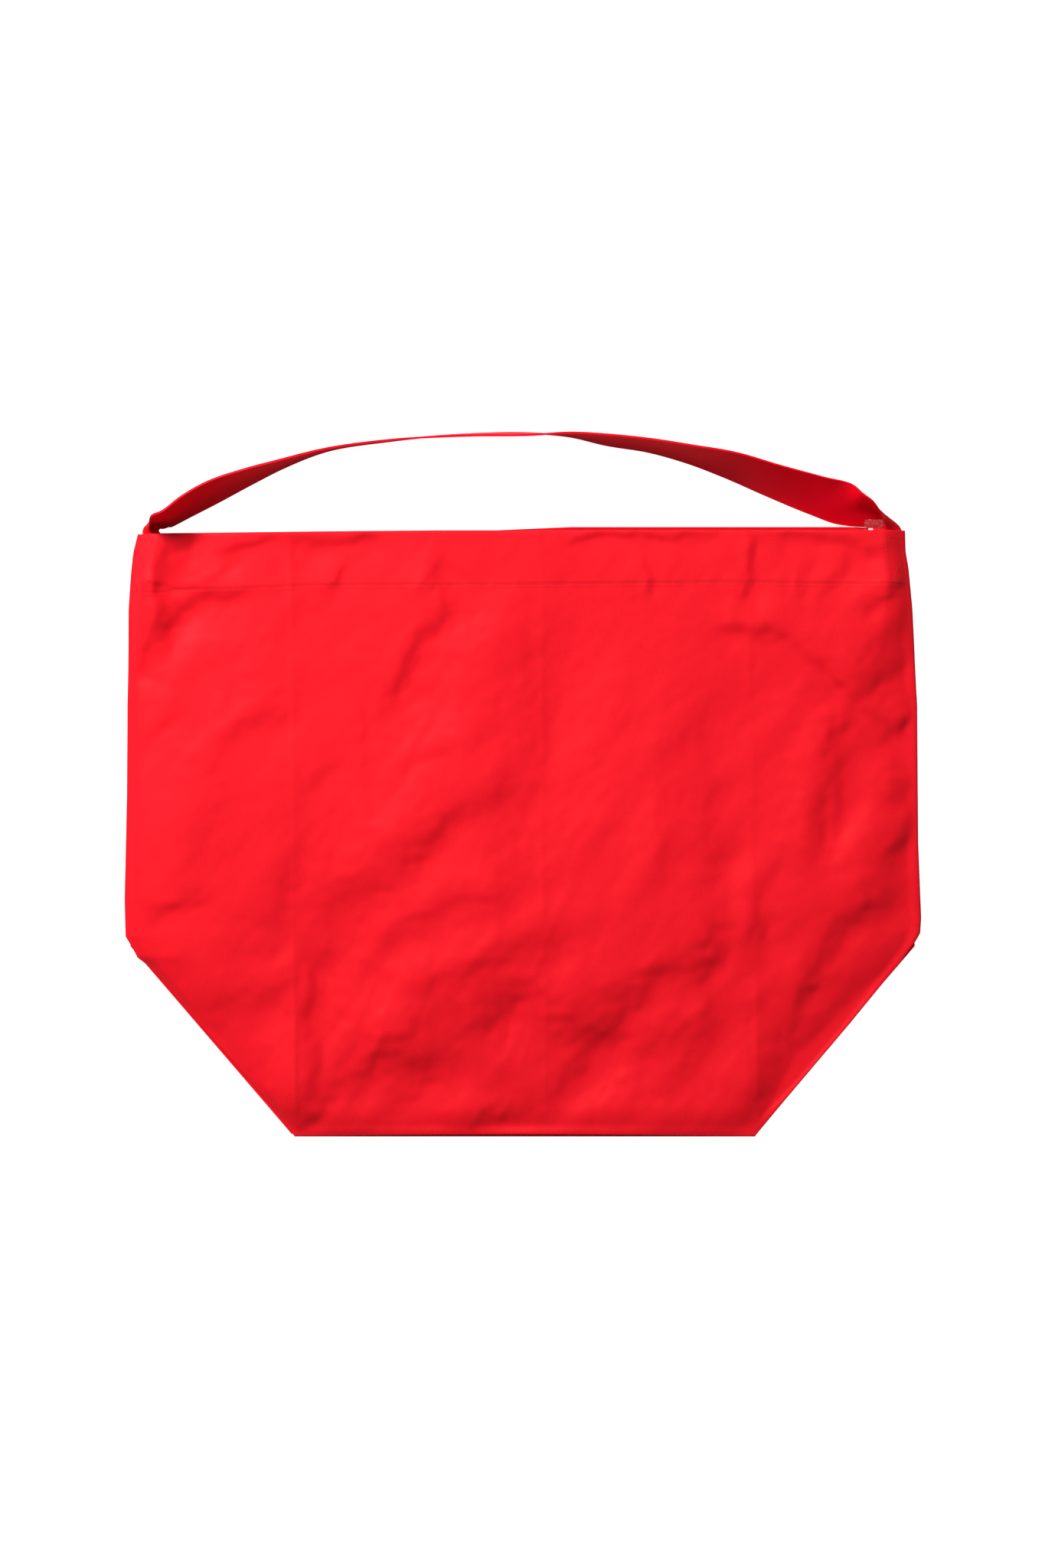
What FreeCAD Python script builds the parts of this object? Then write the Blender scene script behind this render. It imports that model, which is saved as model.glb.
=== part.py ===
import FreeCAD, Part
import math
import os

import Sketcher
from FreeCAD import Vector

# A wide cloth tote bag lying flat. Its base is folded in between the two panels,
# and its one shoulder strap stands on edge beyond the mouth, as it was laid out.
# X runs along the mouth, Y from the base fold to the mouth and strap, Z up from the table.
# The origin is on the table, under the middle of the bag and strap together.

doc = FreeCAD.newDocument("foldable_tote")
sheet = doc.addObject("Spreadsheet::Sheet", "Sizes")

# Driving sizes in millimetres
DRIVING = [
    ("body_width", 600),
    ("mouth_taper", 11),
    ("body_height", 458),
    ("corner_height", 146),
    ("tuck_depth", 126),
    ("tuck_groove", 1.2),
    ("hem_depth", 42),
    ("hem_stitch_inset", 1.5),
    ("cloth", 0.6),
    ("layer_gap", 0.3),
    ("seam_allowance", 9),
    ("thread", 0.5),
    ("base_puff", 0.9),
    ("corner_puff", 4.4),
    ("body_puff", 7),
    ("mouth_puff", 7.2),
    ("base_shoulder", 30),
    ("corner_shoulder", 45),
    ("body_shoulder", 50),
    ("mouth_shoulder", 15),
    ("body_puff_height", 300),
    ("strap_width", 38),
    ("strap_thickness", 1.8),
    ("strap_reach", 75),
    ("strap_end_length", 40),
    ("strap_end_side_gap", 1),
    ("strap_floor_gap", 0.8),
    ("box_stitch_length", 34),
    ("box_stitch_inset", 3),
    ("film_width", 15),
    ("film_length", 30),
    ("film_thickness", 0.3),
    ("film_proud", 7),
    ("film_rise", 5),
    ("film_side_gap", 3.5),
]

# Sizes that follow from the driving ones
DERIVED = [
    ("half_body", "=body_width / 2"),
    ("half_mouth", "=half_body - mouth_taper"),
    ("half_at_hem", "=half_body - mouth_taper / 2"),
    ("half_base", "=half_body - tuck_depth"),
    ("base_line", "=-(body_height + strap_reach) / 2"),
    ("hem_line", "=body_height - hem_depth"),
    ("hem_wall_line", "=body_height - cloth"),
    ("layer_two", "=cloth + layer_gap"),
    ("layer_two_top", "=layer_two + cloth"),
    ("groove_top", "=layer_two_top + tuck_groove"),
    ("tuck_thickness", "=2 * cloth + tuck_groove"),
    ("tuck_top", "=layer_two + tuck_thickness"),
    ("tuck_inner_line", "=tuck_depth - cloth"),
    ("corner_inner_line", "=corner_height - cloth"),
    ("base_end", "=half_base - layer_gap / 2"),
    ("corner_start", "=half_base + layer_gap / 2"),
    ("base_seam_start", "=base_end - seam_allowance"),
    ("base_seam_level", "=tuck_top + layer_gap"),
    ("base_edge_level", "=base_seam_level + cloth + layer_gap"),
    ("corner_edge_level", "=tuck_top + layer_gap"),
    ("side_edge_level", "=layer_two_top + layer_gap"),
    ("mouth_edge_level", "=layer_two + 2 * strap_thickness + layer_gap"),
    ("mouth_level", "=mouth_edge_level + mouth_puff"),
    ("side_seam_low", "=half_body - layer_gap"),
    ("side_seam_high", "=half_at_hem - layer_gap"),
    ("side_seam_low_inner", "=side_seam_low - seam_allowance"),
    ("side_seam_high_inner", "=side_seam_high - seam_allowance"),
    ("mouth_crease", "=half_mouth - mouth_shoulder"),
    ("crease_stretch", "=sqrt(1 + (mouth_puff / mouth_shoulder) ^ 2)"),
    ("strap_side", "=half_mouth - strap_end_side_gap"),
    ("strap_upper_leg", "=(strap_side - mouth_crease) * crease_stretch"),
    ("strap_lower_end", "=strap_side - (strap_width - strap_upper_leg)"),
    ("back_hem_side", "=strap_lower_end - layer_gap"),
    ("front_hem_side", "=mouth_crease - layer_gap"),
]

row = 0
for name, amount in DRIVING:
    row += 1
    sheet.set(f"A{row}", name)
    sheet.set(f"B{row}", str(amount))
    sheet.setAlias(f"B{row}", name)
doc.recompute()
for name, formula in DERIVED:
    row += 1
    sheet.set(f"A{row}", name)
    sheet.set(f"B{row}", formula)
    sheet.setAlias(f"B{row}", name)
    doc.recompute()


def size(name):
    """A cell's number, turned in sign by a leading minus; no name is zero."""
    if name is None:
        return 0.0
    value = float(sheet.get(name.lstrip("-")))
    return -value if name.startswith("-") else value


def cell(name):
    """The expression for a cell, turned in sign by a leading minus."""
    return ("-" if name.startswith("-") else "") + "Sizes." + name.lstrip("-")


subparts = []


def keep(thing, label):
    """Names a sub-part and puts it on the list of those to write."""
    thing.Label = label
    subparts.append(thing)
    return thing


# Flat cloth layers are outlines padded by the cloth's thickness

def new_body(label):
    body = keep(doc.addObject("PartDesign::Body", label), label)
    body.setExpression("Placement.Base.y", "Sizes.base_line")
    return body


def outline(body, name, corners, level=None):
    """A closed sketch of straight edges, with each corner's place bound to two cells."""
    sketch = body.newObject("Sketcher::SketchObject", name)
    for feature in body.Origin.OriginFeatures:
        if feature.Role == "XY_Plane":
            sketch.AttachmentSupport = [(feature, "")]
    sketch.MapMode = "FlatFace"
    if level is not None:
        sketch.setExpression("AttachmentOffset.Base.z", cell(level))
    places = [Vector(size(across), size(along), 0) for across, along in corners]
    for here, there in zip(places, places[1:] + places[:1]):
        sketch.addGeometry(Part.LineSegment(here, there), False)
    for edge in range(len(places)):
        following = (edge + 1) % len(places)
        sketch.addConstraint(Sketcher.Constraint("Coincident", edge, 2, following, 1))
    for edge, corner in enumerate(corners):
        for direction, name_of_size in zip(("DistanceX", "DistanceY"), corner):
            rule = Sketcher.Constraint(direction, -1, 1, edge, 1, size(name_of_size))
            number = sketch.addConstraint(rule)
            if name_of_size is not None:
                sketch.setExpression(f"Constraints[{number}]", cell(name_of_size))
    return sketch


def pad(body, sketch, name, thickness):
    layer = body.newObject("PartDesign::Pad", name)
    layer.Profile = sketch
    layer.setExpression("Length", cell(thickness))
    return layer


def pocket(body, sketch, name, depth):
    cut = body.newObject("PartDesign::Pocket", name)
    cut.Profile = sketch
    cut.setExpression("Length", cell(depth))
    return cut


def rectangle(low_across, high_across, low_along, high_along):
    return [
        (low_across, low_along),
        (high_across, low_along),
        (high_across, high_along),
        (low_across, high_along),
    ]


# The back panel lies on the table, with its hem turned in along the mouth

back = new_body("back_panel")
back_outline = [
    ("-half_base", None),
    ("half_base", None),
    ("half_body", "corner_height"),
    ("half_body", "body_puff_height"),
    ("half_at_hem", "hem_line"),
    ("half_mouth", "body_height"),
    ("-half_mouth", "body_height"),
    ("-half_at_hem", "hem_line"),
    ("-half_body", "body_puff_height"),
    ("-half_body", "corner_height"),
]
back_sketch = outline(back, "back_outline", back_outline)
pad(back, back_sketch, "back_cloth", "cloth")
back_fold = rectangle("-back_hem_side", "back_hem_side", "hem_wall_line", "body_height")
back_fold_sketch = outline(back, "back_hem_fold_outline", back_fold)
pad(back, back_fold_sketch, "back_hem_fold", "layer_two_top")
back_hem = rectangle("-back_hem_side", "back_hem_side", "hem_line", "body_height")
back_hem_sketch = outline(back, "back_hem_outline", back_hem, "layer_two")
pad(back, back_hem_sketch, "back_hem", "cloth")


# The base is folded in half along its length, fold inwards, and open towards the table's edge

base = new_body("base_panel")
base_outline = rectangle("-base_end", "base_end", None, "tuck_depth")
pad(base, outline(base, "base_outline", base_outline, "layer_two"), "base_cloth", "tuck_thickness")
base_groove = rectangle("-base_end", "base_end", None, "tuck_inner_line")
base_groove_sketch = outline(base, "base_groove_outline", base_groove, "groove_top")
pocket(base, base_groove_sketch, "base_groove", "tuck_groove")


# Both sides have the same tucked corner, base seam and side seam

def mirrored(corners, side):
    """The corners as they are for the right side, or with X turned for the left one."""
    if side == "right":
        return corners
    return [("-" + across, along) for across, along in corners]


for side in ("left", "right"):
    corner = new_body(side + "_corner_tuck")
    triangle = [
        ("corner_start", None),
        ("half_body", "corner_height"),
        ("corner_start", "tuck_depth"),
    ]
    corner_sketch = outline(corner, side + "_tuck_outline", mirrored(triangle, side), "layer_two")
    pad(corner, corner_sketch, side + "_tuck_cloth", "tuck_thickness")
    groove = [
        ("corner_start", None),
        ("half_body", None),
        ("half_body", "corner_inner_line"),
        ("corner_start", "tuck_inner_line"),
    ]
    groove_sketch = outline(corner, side + "_groove_outline", mirrored(groove, side), "groove_top")
    pocket(corner, groove_sketch, side + "_tuck_groove", "tuck_groove")

    base_seam = new_body(side + "_base_seam")
    strip = rectangle("base_seam_start", "base_end", "cloth", "tuck_inner_line")
    strip_sketch = outline(base_seam, side + "_base_seam_outline", mirrored(strip, side), "base_seam_level")
    pad(base_seam, strip_sketch, side + "_base_seam_cloth", "cloth")

    side_seam = new_body(side + "_side_seam")
    strip = [
        ("side_seam_low", "corner_height"),
        ("side_seam_low", "body_puff_height"),
        ("side_seam_high", "hem_line"),
        ("side_seam_high_inner", "hem_line"),
        ("side_seam_low_inner", "body_puff_height"),
        ("side_seam_low_inner", "corner_height"),
    ]
    strip_sketch = outline(side_seam, side + "_side_seam_outline", mirrored(strip, side), "layer_two")
    pad(side_seam, strip_sketch, side + "_side_seam_cloth", "cloth")


# The front panel rises from the folds at its edges to a low flat crown

def shaped(shape, label):
    """A sub-part whose shape is made directly, moved so that the base fold is on its line."""
    feature = keep(doc.addObject("Part::Feature", label), label)
    feature.Shape = shape
    to_base_line = FreeCAD.Placement(Vector(0, size("base_line"), 0), FreeCAD.Rotation())
    feature.Placement = to_base_line.multiply(shape.Placement)
    return feature


def closed(points):
    return Part.makePolygon(points + points[:1])


def panel_section(along, half_width, shoulder, edge_level, puff):
    """The front panel cut across: up a shoulder, over the crown and down the other shoulder."""
    crown = half_width - shoulder
    under = [
        (-half_width, edge_level),
        (-crown, edge_level + puff),
        (crown, edge_level + puff),
        (half_width, edge_level),
    ]
    lower = [Vector(across, along, level) for across, level in under]
    upper = [point + Vector(0, 0, size("cloth")) for point in reversed(lower)]
    return closed(lower + upper)


def sized_section(along, half_width, shoulder, edge_level, puff):
    return panel_section(size(along), size(half_width), size(shoulder), size(edge_level), size(puff))


def block(low, high):
    """A box between two corners, each a list of three numbers."""
    spans = [top - bottom for bottom, top in zip(low, high)]
    return Part.makeBox(*spans, Vector(*low))


sections = [
    sized_section(None, "half_base", "base_shoulder", "base_edge_level", "base_puff"),
    sized_section("corner_height", "half_body", "corner_shoulder", "corner_edge_level", "corner_puff"),
    sized_section("body_puff_height", "half_body", "body_shoulder", "side_edge_level", "body_puff"),
    sized_section("hem_line", "half_at_hem", "mouth_shoulder", "mouth_edge_level", "mouth_puff"),
    sized_section("body_height", "half_mouth", "mouth_shoulder", "mouth_edge_level", "mouth_puff"),
]
hem_top = size("mouth_level") - size("layer_gap")
hem_bottom = hem_top - size("cloth")
hem_reach = size("front_hem_side")
front_hem = block(
    [-hem_reach, size("hem_line"), hem_bottom],
    [hem_reach, size("body_height"), hem_top],
)
front_hem_fold = block(
    [-hem_reach, size("hem_wall_line"), hem_bottom],
    [hem_reach, size("body_height"), size("mouth_level")],
)
front_cloth = Part.makeLoft(sections, True, True)
shaped(front_cloth.fuse([front_hem, front_hem_fold]).removeSplitter(), "front_panel")


# One row of stitches holds each hem down; each row is drawn as one low bead

def stitch_row(label, reach, level):
    row_of_thread = keep(doc.addObject("Part::Box", label), label)
    row_of_thread.setExpression("Length", "2 * " + cell(reach))
    row_of_thread.setExpression("Width", cell("thread"))
    row_of_thread.setExpression("Height", cell("thread") + " / 2")
    row_of_thread.setExpression("Placement.Base.x", "-" + cell(reach))
    line = f"{cell('base_line')} + {cell('hem_line')} + {cell('hem_stitch_inset')}"
    row_of_thread.setExpression("Placement.Base.y", line)
    row_of_thread.setExpression("Placement.Base.z", level)
    return row_of_thread


stitch_row("front_hem_stitching", "front_hem_side", "Sizes.mouth_level + Sizes.cloth")
stitch_row("back_hem_stitching", "back_hem_side", "Sizes.layer_two_top")


# Each end of the strap is folded lengthways round the side fold and sewn inside the hem

def shoulder_level(across):
    """Height of the underside of the front panel's shoulder at the mouth."""
    rise = size("mouth_puff") / size("mouth_shoulder")
    return size("mouth_edge_level") + (size("half_mouth") - across) * rise


def strap_end_corners():
    """The folded strap cut across at the mouth, as pairs of distance from the middle and height."""
    thick = size("strap_thickness")
    slanted = size("crease_stretch")
    outer = size("strap_side")
    crease = size("mouth_crease")
    inner = size("strap_lower_end")
    low = size("layer_two")
    gap = size("layer_gap") * slanted
    skin = thick * slanted
    return [
        (outer, low),
        (outer, shoulder_level(outer) - gap),
        (crease, shoulder_level(crease) - gap),
        (crease, shoulder_level(crease) - gap - skin),
        (outer - thick, shoulder_level(outer - thick) - gap - skin),
        (outer - thick, low + thick),
        (inner, low + thick),
        (inner, low),
    ]


for side, turn in (("left", -1), ("right", 1)):
    start = size("body_height") - size("strap_end_length")
    corners = [Vector(turn * across, start, level) for across, level in strap_end_corners()]
    folded = Part.Face(closed(corners)).extrude(Vector(0, size("strap_end_length"), 0))
    shaped(folded, side + "_strap_end")


# A box of stitches with a cross in it holds each strap end to the front panel's shoulder

def on_shoulder(turn, climb, along):
    """A point on the shoulder's outer face, its climb a share of the way from fold to crease."""
    share = (along - size("hem_line")) / size("hem_depth")
    half_width = size("half_at_hem") + (size("half_mouth") - size("half_at_hem")) * share
    across = half_width - climb * size("mouth_shoulder")
    level = size("mouth_edge_level") + size("cloth") + climb * size("mouth_puff")
    return Vector(turn * across, along, level)


def bead(start, end, outward):
    """A thin bead of thread on a face, from start to end."""
    sideways = outward.cross(end - start).normalize() * (size("thread") / 2)
    overrun = (end - start).normalize() * (size("thread") / 2)
    ring = [start - overrun - sideways, end + overrun - sideways]
    ring += [end + overrun + sideways, start - overrun + sideways]
    return Part.Face(closed(ring)).extrude(outward * (size("thread") / 2))


for side, turn in (("left", -1), ("right", 1)):
    first = size("hem_line") + size("box_stitch_inset")
    last = first + size("box_stitch_length")
    near_fold = 0.1
    near_crease = 0.9
    corners = [
        on_shoulder(turn, near_crease, first),
        on_shoulder(turn, near_crease, last),
        on_shoulder(turn, near_fold, last),
        on_shoulder(turn, near_fold, first),
        on_shoulder(turn, near_fold, (first + last) / 2),
    ]
    crease_low, crease_high, fold_high, fold_low, centre = corners
    outward = (crease_high - crease_low).cross(crease_low - fold_low).normalize() * turn
    lines = [
        (crease_low, crease_high),
        (crease_high, fold_high),
        (crease_low, fold_low),
        (crease_high, centre),
        (crease_low, centre),
    ]
    beads = [bead(start, end, outward) for start, end in lines]
    shaped(beads[0].fuse(beads[1:]).removeSplitter(), side + "_box_stitching")


# The strap's route beyond the mouth, from left to right: share of the half mouth,
# share of the reach, and lean in degrees, outwards at the top. Its lower edge rests on the table.

ROUTE = [
    (-0.89, 0.13, 19),
    (-0.82, 0.25, 23),
    (-0.71, 0.48, 15),
    (-0.63, 0.64, 6),
    (-0.53, 0.79, -1),
    (-0.33, 0.9, 0),
    (0, 1, -2),
    (0.12, 0.97, 0),
    (0.22, 0.88, 6),
    (0.33, 0.79, 10),
    (0.43, 0.69, 15),
    (0.53, 0.55, 25),
    (0.63, 0.4, 33),
    (0.68, 0.32, 37),
    (0.75, 0.22, 43),
    (0.83, 0.13, 47),
]
LEFT_BEND_END = 2
RIGHT_BEND_START = 13


def route_point(station):
    across, along, lean = station
    farthest = size("strap_reach") - size("strap_thickness") / 2
    return Vector(across * size("half_mouth"), size("body_height") + along * farthest, 0)


def heading(place):
    """The way the route runs at a station, from its neighbours."""
    before = route_point(ROUTE[max(place - 1, 0)])
    after = route_point(ROUTE[min(place + 1, len(ROUTE) - 1)])
    return (after - before).normalize()


def band_wire(place, shift=0):
    """The strap cut across: a leaning strip with a point at its fold line on each face."""
    way = heading(place)
    lean = math.radians(ROUTE[place][2])
    outward = Vector(-way.y, way.x, 0)
    width_way = outward * math.sin(lean) + Vector(0, 0, math.cos(lean))
    skin = outward * math.cos(lean) - Vector(0, 0, math.sin(lean))
    skin = skin * (size("strap_thickness") / 2)
    clearance = size("strap_floor_gap") + abs(skin.z)
    foot = route_point(ROUTE[place]) + way * shift + Vector(0, 0, clearance)
    line = [foot + width_way * height for height in (0, size("strap_width") / 2, size("strap_width"))]
    return closed([point + skin for point in line] + [point - skin for point in reversed(line)])


strap_wires = [band_wire(place) for place in range(LEFT_BEND_END, RIGHT_BEND_START + 1)]
strap = shaped(Part.makeLoft(strap_wires, True, False), "strap")


# Between its sewn end and the free strap, the cloth bends and opens out from its fold

def mouth_wire(turn):
    """The folded end's own section, a gap beyond the mouth, as six points."""
    corners = strap_end_corners()
    outer_low, outer_high, top, top_under, fold_high, fold_low, inner_top, inner_low = corners
    fold_outer = (outer_low[0], (outer_low[1] + outer_high[1]) / 2)
    fold_inner = (fold_low[0], (fold_low[1] + fold_high[1]) / 2)
    ring = [inner_low, fold_outer, top, top_under, fold_inner, inner_top]
    along = size("body_height") + size("layer_gap")
    return closed([Vector(turn * across, along, level) for across, level in ring])


gap = size("layer_gap")
left_wires = [band_wire(LEFT_BEND_END, -gap)]
left_wires += [band_wire(place) for place in reversed(range(LEFT_BEND_END))]
left_wires += [mouth_wire(-1)]
shaped(Part.makeLoft(left_wires, True, True), "left_strap_bend")
right_wires = [band_wire(RIGHT_BEND_START, gap)]
right_wires += [band_wire(place) for place in range(RIGHT_BEND_START + 1, len(ROUTE))]
right_wires += [mouth_wire(1)]
shaped(Part.makeLoft(right_wires, True, True), "right_strap_bend")


# A slip of clear film shows in the mouth. It lies on the right strap end and bends up with the strap.

film_right = size("mouth_crease") - size("film_side_gap")
film_left = film_right - size("film_width")
film_level = size("layer_two") + size("strap_thickness") + size("layer_gap")
film_end = size("body_height") + size("film_proud")
film_line = [
    Vector(film_left, film_end - size("film_length"), film_level),
    Vector(film_left, size("body_height"), film_level),
    Vector(film_left, film_end, film_level + size("film_rise")),
]
film_skin = Vector(0, 0, size("film_thickness"))
film_side = Part.Face(closed(film_line + [point + film_skin for point in reversed(film_line)]))
shaped(film_side.extrude(Vector(size("film_width"), 0, 0)), "film_tab")

doc.recompute()


# Every feature has to have worked before anything is written

for thing in doc.Objects:
    if "Invalid" in thing.State or "Error" in thing.State:
        raise RuntimeError(f"{thing.Label} failed: {thing.State}")
for subpart in subparts:
    if subpart.Shape.isNull() or not subpart.Shape.isValid() or subpart.Shape.Volume <= 0:
        raise RuntimeError(f"{subpart.Label} has no valid shape")

free_route = [route_point(station) for station in ROUTE[LEFT_BEND_END : RIGHT_BEND_START + 1]]
strap_length = sum((there - here).Length for here, there in zip(free_route, free_route[1:]))
section_area = size("strap_width") * size("strap_thickness")
print(f"strap volume {strap.Shape.Volume:.0f}, section times length {section_area * strap_length:.0f}")

os.makedirs("parts", exist_ok=True)
for subpart in subparts:
    subpart.Shape.exportStep(f"parts/{subpart.Label}.step")
    bounds = subpart.Shape.BoundBox
    solids = len(subpart.Shape.Solids)
    print(f"{subpart.Label}: {solids} solid, z {bounds.ZMin:.2f} to {bounds.ZMax:.2f}")
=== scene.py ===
import math

import bpy
import numpy as np
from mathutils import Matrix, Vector


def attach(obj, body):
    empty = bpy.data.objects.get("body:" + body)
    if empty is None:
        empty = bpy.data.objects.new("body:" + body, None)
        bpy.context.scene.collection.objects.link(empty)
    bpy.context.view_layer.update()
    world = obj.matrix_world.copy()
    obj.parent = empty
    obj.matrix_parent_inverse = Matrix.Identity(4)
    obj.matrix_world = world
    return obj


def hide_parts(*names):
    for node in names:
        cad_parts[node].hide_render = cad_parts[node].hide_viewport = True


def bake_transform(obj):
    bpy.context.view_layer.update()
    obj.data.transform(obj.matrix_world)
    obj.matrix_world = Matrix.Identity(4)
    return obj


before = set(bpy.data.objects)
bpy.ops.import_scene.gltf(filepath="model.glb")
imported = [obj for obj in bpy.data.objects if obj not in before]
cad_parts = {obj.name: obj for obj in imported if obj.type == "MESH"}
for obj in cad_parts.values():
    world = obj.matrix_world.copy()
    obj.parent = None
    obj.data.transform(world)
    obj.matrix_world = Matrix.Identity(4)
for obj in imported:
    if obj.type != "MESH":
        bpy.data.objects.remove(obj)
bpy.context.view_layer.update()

# A wide cloth tote lying flat on its back panel, seen from straight above.
# Lengths below are millimetres in the part's frame and become metres in metres().
# "Along" is the distance from the base fold towards the mouth.

BASE = -266.5
MOUTH = 191.5
BAG_LONG = MOUTH - BASE
CORNER_LONG = 146
TUCK_DEEP = 126
HEM_DEEP = 42
HALF_BASE = 174
HALF_BODY = 300
HALF_MOUTH = 289
HALF_FRONT_HEM = 273
HALF_BACK_HEM = 264
CLOTH = 0.5
SEAM_CLOTH = 0.45
STRAP_WIDE = 38
STRAP_THICK = 1.6
FILM_THICK = 0.12
STITCH_PITCH = 2.1
STITCH_LONG = 1.5
THREAD_THICK = 0.42
# How far a rolled edge runs on along the cloth
LIP = 2

PICTURE_WIDE = 1365
PICTURE_HIGH = 2048
MM_PER_PIXEL = 0.58
CAMERA_HIGH = 4500
MM_PER_DECIMETRE = 100
SHARP_ANGLE = math.radians(50)

# Random clouds: typical width, typical length and seed
WIDE_CLOUD = (42, 85, 3)
NARROW_CLOUD = (17, 34, 5)
GRAIN_CLOUD = (6, 10, 7)
BEND_X_CLOUDS = ((19, 23, 31), (7, 9, 33))
BEND_Y_CLOUDS = ((23, 19, 32), (9, 7, 34))
CREASE_CLOUD = (50, 45, 41)
TILT_CLOUD = (50, 60, 43)
HEM_CLOUD = (7, 9, 11)
BACK_CLOUD = (45, 60, 21)
SEAM_CLOUD = (4, 9, 8)
FILM_CLOUD = (3, 4, 4)
LATTICE = 64
LATTICE_START_X = 31.3
LATTICE_START_Y = 17.7


def metres(points):
    return np.asarray(points, float) * 0.001


def from_picture(across, down):
    """Where a place in the photograph lies on the table."""
    return (
        (across - PICTURE_WIDE / 2) * MM_PER_PIXEL,
        (PICTURE_HIGH / 2 - down) * MM_PER_PIXEL,
    )


def ease(value):
    """A smooth step from 0 to 1."""
    held = np.clip(value, 0, 1)
    return held * held * (3 - 2 * held)


def cubic(share, wide, start, end, slope, next_slope):
    """A smooth way from one value to the next that has a given slope at each."""
    return (
        (1 + 2 * share) * (1 - share) ** 2 * start
        + share * (1 - share) ** 2 * wide * slope
        + share**2 * (3 - 2 * share) * end
        - share**2 * (1 - share) * wide * next_slope
    )


def curve_through(place, places, values):
    """A smooth curve through a few values, with no overshoot beyond its neighbours."""
    places = np.asarray(places, float)
    values = np.asarray(values, float)
    place = np.clip(place, places[0], places[-1])
    steps = np.diff(values) / np.diff(places)
    slopes = np.zeros(len(values))
    same_way = steps[:-1] * steps[1:] > 0
    total = np.where(same_way, steps[:-1] + steps[1:], 1)
    slopes[1:-1] = np.where(same_way, 2 * steps[:-1] * steps[1:] / total, 0)
    slopes[0] = steps[0]
    slopes[-1] = steps[-1]
    span = np.clip(np.searchsorted(places, place, side="right") - 1, 0, len(places) - 2)
    wide = places[span + 1] - places[span]
    share = (place - places[span]) / wide
    return cubic(share, wide, values[span], values[span + 1], slopes[span], slopes[span + 1])


def distance_along(points):
    """How far each point of a line lies from its first one, measured along it."""
    return np.concatenate([[0], np.cumsum(np.linalg.norm(np.diff(points, axis=0), axis=1))])


def cloudy(x, y, wide, long, seed):
    """Smooth random hills and dips between -1 and 1, with a typical width and length."""
    lattice = np.random.default_rng(seed).uniform(-1, 1, (LATTICE, LATTICE))
    across = np.asarray(x) / wide + LATTICE_START_X
    along = np.asarray(y) / long + LATTICE_START_Y
    column = np.floor(across).astype(int)
    row = np.floor(along).astype(int)
    right = ease(across - column)
    up = ease(along - row)

    def at_row(row):
        here = lattice[row % LATTICE, column % LATTICE]
        beside_it = lattice[row % LATTICE, (column + 1) % LATTICE]
        return here * (1 - right) + beside_it * right

    return at_row(row) * (1 - up) + at_row(row + 1) * up


# Meshes

def new_object(name, mesh, material):
    thing = bpy.data.objects.new(name, mesh)
    bpy.context.scene.collection.objects.link(thing)
    mesh.materials.append(material)
    return thing


def surface_normals(points):
    across = np.gradient(points, axis=1)
    along = np.gradient(points, axis=0)
    normal = np.cross(across, along)
    return normal / np.maximum(np.linalg.norm(normal, axis=2, keepdims=True), 1e-9)


def cloth_mesh(name, points, thick, material, shown=None):
    """A closed thin sheet round a grid of points, with a flat-pattern UV map in decimetres."""
    rows, columns = points.shape[:2]
    if shown is None:
        shown = np.ones((rows - 1, columns - 1), bool)
    normal = surface_normals(points)
    thickness = np.broadcast_to(np.asarray(thick, float), (rows, columns))[..., None]
    upper = points + normal * thickness / 2
    lower = points - normal * thickness / 2
    number = np.arange(rows * columns).reshape(rows, columns)
    quads = np.stack(
        [number[:-1, :-1], number[:-1, 1:], number[1:, 1:], number[1:, :-1]], axis=-1
    )[shown]
    edges = np.concatenate([quads[:, [k, (k + 1) % 4]] for k in range(4)])
    keys = np.sort(edges, axis=1)
    _, where, uses = np.unique(keys, axis=0, return_index=True, return_counts=True)
    rim = edges[where[uses == 1]]
    under = rows * columns
    sides = np.stack([rim[:, 1], rim[:, 0], rim[:, 0] + under, rim[:, 1] + under], axis=-1)
    faces = np.concatenate([quads, quads[:, ::-1] + under, sides])
    vertices = np.concatenate([upper.reshape(-1, 3), lower.reshape(-1, 3)])
    used, faces = np.unique(faces, return_inverse=True)
    faces = faces.reshape(-1, 4)
    mesh = bpy.data.meshes.new(name)
    mesh.from_pydata(metres(vertices[used]).tolist(), [], faces.tolist())
    across_steps = np.linalg.norm(np.diff(points, axis=1), axis=2)
    right = np.concatenate([np.zeros((rows, 1)), np.cumsum(across_steps, axis=1)], axis=1)
    right = right - right[:, columns // 2 : columns // 2 + 1]
    along_steps = np.linalg.norm(np.diff(points, axis=0), axis=2)
    up = np.concatenate([np.zeros((1, columns)), np.cumsum(along_steps, axis=0)])
    flat = np.stack([right.ravel(), up.ravel()], axis=1) / MM_PER_DECIMETRE
    flat = np.concatenate([flat, flat])[used]
    layer = mesh.uv_layers.new(name="cloth")
    layer.data.foreach_set("uv", flat[faces.ravel()].astype(np.float32).ravel())
    mesh.shade_smooth()
    mesh.set_sharp_from_angle(angle=SHARP_ANGLE)
    mesh.validate()
    mesh.update()
    return new_object(name, mesh, material)


# The bag's side edges as it lies in the photograph: distance along, and x

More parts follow.
